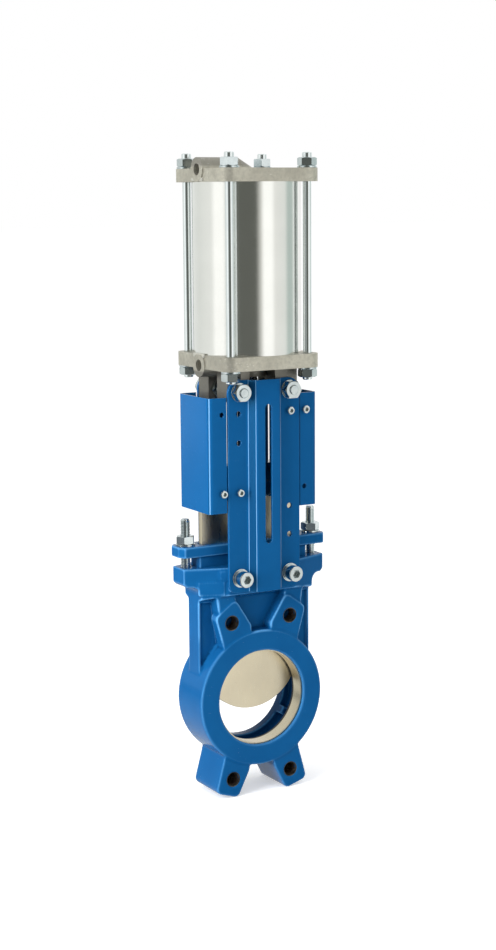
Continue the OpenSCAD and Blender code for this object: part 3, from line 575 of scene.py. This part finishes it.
# The gland studs: M10 rod in zinc plated steel, threaded from end to end and screwed
# into the ears of the body.
core_r = 0.00425
tip_r = 0.0036
crest_r = 0.00498
low_chamfer, top_chamfer = 0.0007, 0.0008
stud_pitch = 0.0015
stud_thread_depth = 0.00085
stud_thread_start = 0.001
stud_thread_length = 0.061
stud_bottom, stud_top = height_of("gland_studs")
stud_length = stud_top - stud_bottom
studs = bmesh.new()
for x, y in stud_places:
    foot = Vector((x, y, stud_bottom))
    add_to(studs, ring(foot, up_z, (
        (0.0, 0.0), (tip_r, 0.0), (core_r, low_chamfer), (core_r, stud_length - top_chamfer),
        (tip_r, stud_length), (0.0, stud_length)), sides=32))
    add_to(studs, thread(
        foot + up_z * stud_thread_start, up_z, crest_r, stud_thread_depth, stud_pitch,
        stud_thread_length, sides=24, outside=True))
place_piece(studs, "gland_stud_threads", ["gland_studs"], zinc_plate, sharp=40.0)


# The fork that holds the gate to the rod, with its bolts, and the nuts and washer on the
# rod's two ends: machined steel, zinc plated. They are mostly hidden by the plates.
def coat_with(name, finish):
    data = node[name].data
    data.materials.clear()
    data.materials.append(finish)


for name in ("gate_fork", "fork_bolts", "fork_nuts", "rod_lock_nut", "piston_washer", "piston_nut"):
    coat_with(name, zinc_plate)


# The covers: sand cast aluminium, machined on the tube side and left rough outside, with
# scuffs from handling. The ribs on top are darker than the rims, and the feet below are painted darker as
# the shade under the covers.
cover_pale, cover_deep = (0.56, 0.54, 0.455), (0.45, 0.43, 0.36)
cast_shadow = (0.3, 0.29, 0.25)
# Darker grey for the ribs, and painted shade for the feet.
rib_grey_and_foot_shade = (0.25, 0.24, 0.21)
scuff_white = (0.92, 0.92, 0.88)
rib_foot = (0.5442, 0.5462)
rim_underside = (0.3425, 0.3405)
cover_edge = 0.0008


def sand_cast(name, colour, dark, roughness, bump):
    finish, tree, shader, place = new_finish(name)
    parts = use_group(tree, speckle, place, Grain=700.0, Dust=900.0)
    base = blend(tree, steps(tree, parts["Cloud"], 0.4, 0.6), colour, dark)
    mottled = steps(tree, noise(tree, place, 240.0, detail=5.0, rough=0.7), 0.42, 0.62, 0.0, 0.35)
    base = blend(tree, mottled, base, cast_shadow)
    height = axes_of(tree, place)["Z"]
    # Darker grey on the ribs; below the rim the feet get painted shade.
    on_ribs = steps(tree, height, *rib_foot, 0.0, 0.75)
    feet_painted_shade = steps(tree, height, *rim_underside)
    for darker_part in (on_ribs, feet_painted_shade):
        base = blend(tree, darker_part, base, rib_grey_and_foot_shade)
    rubbed = tree.nodes.new("ShaderNodeMapping")
    rubbed.inputs["Rotation"].default_value = (0.4, 0.0, 0.5)
    rubbed.inputs["Scale"].default_value = (260.0, 260.0, 1100.0)
    tree.links.new(place, rubbed.inputs["Vector"])
    streaks = steps(tree, noise(tree, rubbed.outputs["Vector"], 1.0, rough=0.6), 0.64, 0.70)
    scuffs = product(tree, streaks, steps(tree, noise(tree, place, 38.0), 0.5, 0.6))
    base = blend(tree, maths(tree, "MAXIMUM", scuffs, parts["Dust Mask"]), base, scuff_white)
    rough = steps(tree, parts["Grain Height"], *grain_mix, roughness - 0.08, roughness + 0.08)
    tree.links.new(base, shader.inputs["Base Color"])
    shader.inputs["Metallic"].default_value = 0.7
    tree.links.new(rough, shader.inputs["Roughness"])
    add_bump(tree, shader, parts["Grain Height"], bump, 0.0003)
    return finish


cover_aluminium = sand_cast("cover_aluminium", cover_pale, cover_deep, roughness=0.46, bump=0.6)
for name in ("lower_cover", "upper_cover"):
    turned_copy(name, name + "_cast", cover_aluminium, cover_edge, segments=3)


# The port bosses, cast on the covers: the face round each air port is cut flat and
# bright, and a pad of the same width joins the round boss to the edge of its cover.
cut_pale, cut_pale_deep = (0.66, 0.65, 0.58), (0.58, 0.57, 0.51)
left = Vector((-1.0, 0.0, 0.0))
face_x = -0.0567
face_line = ((0.0059, -0.002), (0.0059, -0.0003), (0.0064, 0.0001), (0.0112, 0.0001), (0.0118, -0.0006))
pad_x = -0.0559
pad_thickness = 0.0016
pad_width = 0.0236
pad_start = 0.008
pad_edge = 0.0006
upper_port, upper_pad_end = 0.542, 0.5306
lower_port, lower_pad_end = 0.3473, 0.3595
pads = bmesh.new()
for port, end in ((upper_port, upper_pad_end), (lower_port, lower_pad_end)):
    add_to(pads, ring(Vector((face_x, axis_y, port)), left, face_line))
    length = abs(end - port) - pad_start
    middle = end - math.copysign(length / 2.0, end - port)
    block = bmesh.new()
    bmesh.ops.create_cube(block, size=1.0)
    bmesh.ops.scale(block, vec=(pad_thickness, pad_width, length), verts=block.verts)
    bmesh.ops.translate(block, vec=(pad_x, axis_y, middle), verts=block.verts)
    bmesh.ops.bevel(
        block, geom=block.edges[:], offset=pad_edge, affect="EDGES", segments=2, profile=0.5, material=-1)
    add_to(pads, block)
cut_aluminium = bare_metal("cut_aluminium", cut_pale, cut_pale_deep, roughness=0.42, metallic=0.7)
place_piece(pads, "port_faces", [], cut_aluminium, sharp=30.0)


# The cylinder tube: aluminium, drawn and then polished round, clamped between the covers
# by the tie rods.
tube_pale, tube_pale_deep = (0.86, 0.865, 0.84), (0.83, 0.835, 0.81)
turned_round = (300.0, 300.0, 2500.0)
tube_polish = brushed("tube_polish", tube_pale, tube_pale_deep, roughness=0.13, stretch=turned_round)
turned_copy("cylinder_tube", "tube_polished", tube_polish, width=0.0)


# The piston rod and piston: a ground steel rod with hard chrome plate, and a disc in the
# covers' aluminium, held on the rod by its nut.
chrome_grey, chrome_grey_deep = (0.72, 0.73, 0.74), (0.68, 0.69, 0.70)
rod_edge = 0.0003
rod_chrome = brushed("rod_chrome", chrome_grey, chrome_grey_deep, roughness=0.1, stretch=turned_round)
turned_copy("piston_rod", "rod_turned", rod_chrome, rod_edge, body="gate_assembly")
coat_with("piston", cover_aluminium)


# The seals, packing and guides: moulded black rubber, plaited pale fibre cord in three
# layers, and cut white plastic strip. They sit in grooves and in the stuffing box.
rubber_black, rubber_black_deep = (0.02, 0.02, 0.02), (0.012, 0.012, 0.012)
fibre_straw, fibre_straw_deep = (0.62, 0.58, 0.45), (0.5, 0.46, 0.36)
plastic_white, plastic_white_deep = (0.8, 0.78, 0.7), (0.72, 0.7, 0.62)


def matt(name, colour, dark, roughness):
    finish, tree, shader, place = new_finish(name)
    cloud = noise(tree, place, 400.0, detail=4.0)
    base = blend(tree, steps(tree, cloud, *even_mix), colour, dark)
    rough = steps(tree, cloud, *grain_mix, roughness - 0.06, roughness + 0.06)
    tree.links.new(base, shader.inputs["Base Color"])
    tree.links.new(rough, shader.inputs["Roughness"])
    add_bump(tree, shader, cloud, 0.2, 0.0002)
    return finish


rubber = matt("seal_rubber", rubber_black, rubber_black_deep, roughness=0.55)
fibre = matt("packing_fibre", fibre_straw, fibre_straw_deep, roughness=0.8)
plastic = matt("guide_plastic", plastic_white, plastic_white_deep, roughness=0.45)
for soft_finish, names in (
    (rubber, ("seat_seal", "tube_seals", "rod_seal", "rod_wiper", "piston_seals")),
    (fibre, ("packing_lower", "packing_middle", "packing_upper")),
    (plastic, ("gate_guides", "piston_guide_ring")),
):
    for name in names:
        coat_with(name, soft_finish)


# The rod bush: a turned bronze sleeve, pressed into the lower cover, in which the rod
# slides.
bronze, bronze_deep = (0.55, 0.36, 0.16), (0.48, 0.3, 0.13)
bush_bronze = brushed("bush_bronze", bronze, bronze_deep, roughness=0.3, stretch=turned_round)
coat_with("rod_bush", bush_bronze)


# The studio: a plain pale floor and a white backdrop. Metal sees the same room by
# direction, dark where the camera stands and white beside it, with soft steps between.
# The room's angles count from the camera's side, in degrees.
white, soft_white = (1.18, 1.18, 1.15), (0.98, 0.98, 0.98)
pale, grey, dark = (0.80, 0.82, 0.79), (0.42, 0.44, 0.42), (0.125, 0.13, 0.115)
pale_green = (0.5, 0.58, 0.55)
black = (0.0, 0.0, 0.0)
camera_yaw = math.radians(29.71)
room = (
    (-180.0, soft_white),
    (-165.0, (0.86, 0.88, 0.86)),
    (-120.0, pale),
    (-80.0, (0.9, 0.91, 0.88)),
    (-70.0, white),
    (-50.0, white),
    (-42.0, (0.7, 0.74, 0.72)),
    (-33.0, grey),
    (-22.0, (0.17, 0.18, 0.165)),
    (-14.0, dark),
    (20.0, dark),
    (30.0, (0.7, 0.7, 0.66)),
    (36.0, white),
    (54.0, white),
    (62.0, (0.88, 0.88, 0.85)),
    (88.0, (0.82, 0.84, 0.81)),
    (97.0, pale_green),
    (112.0, pale_green),
    (120.0, white),
    (150.0, (0.95, 0.95, 0.95)),
    (180.0, soft_white),
)

room_light, into, out = mask_group(
    "room_light", [("Direction", "NodeSocketVector", None)], [("Colour", "NodeSocketColor")])
from_camera = room_light.nodes.new("ShaderNodeMapping")
from_camera.inputs["Rotation"].default_value = (0.0, 0.0, camera_yaw)
room_light.links.new(into.outputs["Direction"], from_camera.inputs["Vector"])
way = axes_of(room_light, from_camera.outputs["Vector"])
around = maths(room_light, "ARCTAN2", way["X"], maths(room_light, "MULTIPLY", way["Y"], -1.0))
ramp = room_light.nodes.new("ShaderNodeValToRGB")
room_light.links.new(steps(room_light, around, -math.pi, math.pi), ramp.inputs["Fac"])
for count, (angle, colour) in enumerate(room):
    if 0 < count < len(room) - 1:
        stop = ramp.color_ramp.elements.new((angle + 180.0) / 360.0)
    else:
        stop = ramp.color_ramp.elements[0 if count == 0 else -1]
    stop.color = (*colour, 1.0)
room_light.links.new(ramp.outputs["Color"], out.inputs["Colour"])


def room_colour(tree, direction):
    effect = tree.nodes.new("ShaderNodeGroup")
    effect.node_tree = room_light
    tree.links.new(direction, effect.inputs["Direction"])
    return effect.outputs["Colour"]


def ray_masks(tree):
    rays = tree.nodes.new("ShaderNodeLightPath").outputs
    mirrored = maths(tree, "MAXIMUM", rays["Is Glossy Ray"], rays["Is Transmission Ray"])
    return mirrored, rays["Is Camera Ray"]


# The floor glows a little for the camera alone. In mirrors it is the room, apart from a
# darker patch near the valve's left side. It lies at the lowest point of the valve.
floor_size = 30.0
patch_reach = (2.8, 2.3)
patch_side = (-0.1, -0.5)
floor_white, floor_shade = (0.9, 0.9, 0.91), (0.89, 0.89, 0.9)
floor_glow = (0.46, 0.46, 0.45)
floor_reflection = (0.16, 0.18, 0.2)
floor_z = cad_box[0][2]
floor_mesh = bmesh.new()
bmesh.ops.create_grid(floor_mesh, x_segments=1, y_segments=1, size=floor_size)
bmesh.ops.translate(floor_mesh, verts=floor_mesh.verts, vec=(0.0, 0.0, floor_z))
floor_data = bpy.data.meshes.new("floor")
floor_mesh.to_mesh(floor_data)
floor_mesh.free()
floor = bpy.data.objects.new("floor", floor_data)
bpy.context.scene.collection.objects.link(floor)
floor_finish, tree, shader, place = new_finish("floor_pale")
mirrored, on_camera = ray_masks(tree)
paint = blend(tree, steps(tree, noise(tree, place, 3.0), *grain_mix), floor_white, floor_shade)
tree.links.new(blend(tree, mirrored, paint, black), shader.inputs["Base Color"])
glow = blend(tree, on_camera, black, floor_glow)
reach = tree.nodes.new("ShaderNodeVectorMath")
reach.operation = "LENGTH"
tree.links.new(place, reach.inputs[0])
close = steps(tree, reach.outputs["Value"], *patch_reach)
to_the_left = steps(tree, axes_of(tree, place)["X"], *patch_side)
near = product(tree, close, to_the_left)
mirror_floor = blend(tree, near, room_colour(tree, place), floor_reflection)
tree.links.new(blend(tree, mirrored, glow, mirror_floor), shader.inputs["Emission Color"])
shader.inputs["Emission Strength"].default_value = 1.0
shader.inputs["Roughness"].default_value = 0.95
shader.inputs["Specular IOR Level"].default_value = 0.0
floor.data.materials.append(floor_finish)

# The camera sees a white backdrop, mirrors see the room and matt faces an even light.
fill_light = (0.62, 0.62, 0.62)
backdrop = (1.0, 1.0, 1.0)
world = bpy.data.worlds.new("studio")
bpy.context.scene.world = world
world.use_nodes = True
tree = world.node_tree
background = tree.nodes["Background"]
direction = tree.nodes.new("ShaderNodeTexCoord").outputs["Generated"]
mirrored, on_camera = ray_masks(tree)
seen = blend(tree, mirrored, fill_light, room_colour(tree, direction))
tree.links.new(blend(tree, on_camera, seen, backdrop), background.inputs["Color"])
background.inputs["Strength"].default_value = 1.0


# Three soft lamps stand off to the sides and above and leave no glints. A narrow upright
# strip far to the left draws the fine bright lines on rounded painted edges, and it is
# linked to the painted pieces alone.
def soft_lamp(name, spot, target, size, energy, glints=False):
    lamp = bpy.data.lights.new(name, "AREA")
    lamp.shape = "RECTANGLE"
    lamp.size, lamp.size_y = size
    lamp.energy = energy
    stand = bpy.data.objects.new(name, lamp)
    stand.location = spot
    stand.visible_glossy = glints
    stand.rotation_euler = (Vector(target) - Vector(spot)).to_track_quat("-Z", "Y").to_euler()
    bpy.context.scene.collection.objects.link(stand)
    return stand


lower_half, middle_height = (0.0, 0.0, 0.2), (0.0, 0.0, 0.3)
soft_lamp("left_lamp", (-2.2, -0.6, 1.2), lower_half, size=(1.2, 1.6), energy=50.0)
soft_lamp("right_lamp", (0.9, -2.0, 1.0), lower_half, size=(1.0, 1.6), energy=4.0)
soft_lamp("top_lamp", (-0.3, -0.3, 2.6), middle_height, size=(1.4, 1.4), energy=8.0)
strip = soft_lamp(
    "edge_strip", (-2.0, -0.35, 0.35), lower_half, size=(0.12, 1.8), energy=26.0, glints=True)
painted = bpy.data.collections.new("painted")
painted_pieces = (
    "body_skin", "gland_skin", "front_plate_sheet", "rear_plate_sheet", "left_guard_sheet",
    "right_guard_sheet",
)
for name in painted_pieces:
    painted.objects.link(bpy.data.objects[name])
strip.light_linking.receiver_collection = painted


# The camera stands where the photograph was taken, found from the flange holes and rods.
# Its place is in metres, its focal length in pixels of the picture's height.
camera_spot = Vector((-0.910238, -1.568414, 0.517386))
pitch, roll = math.radians(8.874), math.radians(-0.415)
focal_pixels, picture_height = 1798.987, 950.0
sensor = 36.0
ahead = Vector((
    math.sin(camera_yaw) * math.cos(pitch), math.cos(camera_yaw) * math.cos(pitch), -math.sin(pitch)))
level_right = Vector((math.cos(camera_yaw), -math.sin(camera_yaw), 0.0))
level_up = level_right.cross(ahead)
right = level_right * math.cos(roll) + level_up * math.sin(roll)
up = level_up * math.cos(roll) - level_right * math.sin(roll)
view = bpy.data.cameras.new("photo_view")
view.sensor_width = sensor
view.lens = focal_pixels / picture_height * sensor
camera = bpy.data.objects.new("photo_view", view)
turned = Matrix((right, up, -ahead)).transposed().to_4x4()
camera.matrix_world = Matrix.Translation(camera_spot) @ turned
bpy.context.scene.collection.objects.link(camera)
bpy.context.scene.camera = camera

bpy.context.scene.view_settings.view_transform = "Standard"
